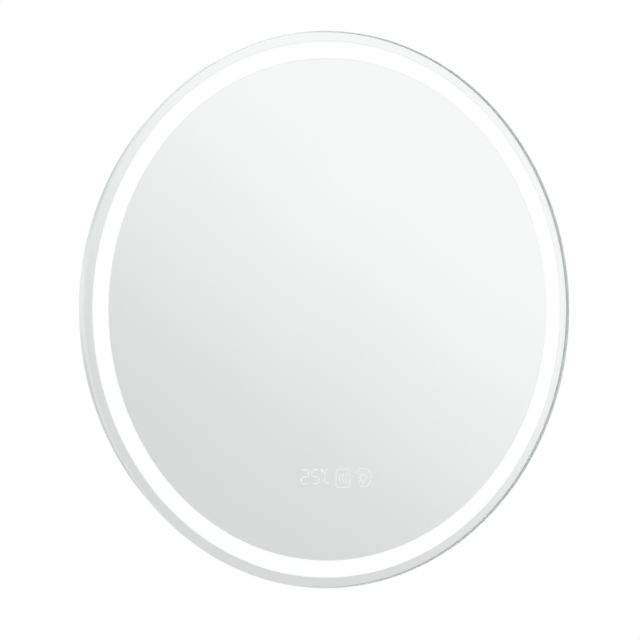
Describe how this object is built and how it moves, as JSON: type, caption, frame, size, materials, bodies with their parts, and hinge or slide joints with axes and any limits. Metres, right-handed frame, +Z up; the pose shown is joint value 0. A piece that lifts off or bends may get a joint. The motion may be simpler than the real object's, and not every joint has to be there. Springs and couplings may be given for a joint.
{
  "type": "lighted bathroom mirror",
  "caption": "Round wall mirror with a lit ring inside its edge, a small lit display with touch keys, a slim metal frame hoop and a lift-off wall cleat.",
  "frame": {"origin": "middle of the wall cleat's screw holes, on the wall face", "axes": "+Y into the wall, so the mirror faces -Y; +Z up; +X right as seen from the front"},
  "size_m": [0.5999, 0.032, 0.6],
  "materials": {
    "glass": "clear float glass, polished edge",
    "silver": "silvered, copper-free, grey-painted back",
    "frosted": "sand-blasted, lit from behind",
    "opal": "opal diffusing sheet",
    "foam": "closed-cell foam",
    "frame": "satin anodised",
    "steel": "pale powder coat",
    "zinc": "zinc plated",
    "white_plastic": "moulded, fine texture",
    "case_plastic": "moulded, fine texture",
    "led_tape": "white flexible circuit",
    "led": "lens over phosphor",
    "heater": "carbon heating film",
    "black_plastic": "black moulding",
    "board": "green circuit board",
    "copper_foam": "conductive foam",
    "rubber": "black rubber",
    "pad_rubber": "soft grey rubber",
    "lead_jacket": "white insulated lead",
    "mains_jacket": "brown insulated lead",
    "terminal": "ivory nylon"
  },
  "bodies": {
    "wall_bracket": {"wall_cleat": "zinc"},
    "cover_flap": {"wiring_cover": "white_plastic", "cover_screw": "zinc"},
    "mirror": {"mirror_glass": "glass", "mirror_silver": "silver", "frosted_band": "frosted", "bonding_tape": "foam", "frame_hoop": "frame", "frame_splice": "zinc", "splice_rivets": "zinc", "diffuser_ring": "opal", "reflector_ring": "white_plastic", "led_tape": "led_tape", "led_chips": "led", "back_panel": "steel", "panel_screws": "zinc", "mirror_cleat": "zinc", "cleat_rivets": "zinc", "foam_spacers": "foam", "bumper_pads": "pad_rubber", "demister_pad": "heater", "demister_block": "black_plastic", "control_holder": "white_plastic", "control_board": "board", "control_screws": "zinc", "display_modules": "black_plastic", "touch_pads": "copper_foam", "board_connector": "terminal", "electrics_tray": "white_plastic", "tray_screws": "zinc", "entry_plate": "white_plastic", "entry_screws": "zinc", "cable_grommet": "rubber", "lead_grommets": "rubber", "hinge_pin": "zinc", "driver_case": "case_plastic", "driver_screws": "zinc", "terminal_block": "terminal", "terminal_screws": "zinc", "mains_leads": "mains_jacket", "lead_clips": "white_plastic", "control_lead": "lead_jacket", "led_lead": "lead_jacket", "demister_lead": "lead_jacket"}
  },
  "joints": [
    {"name": "mirror_lift", "type": "slide", "parent": "wall_bracket", "child": "mirror", "axis": [0, 0, 1], "range_m": [0, 0.014]},
    {"name": "cover_hinge", "type": "hinge", "parent": "mirror", "child": "cover_flap", "pos_m": [0.015, -0.005, -0.1984], "axis": [-1, 0, 0], "range_deg": [0, 110]}
  ]
}
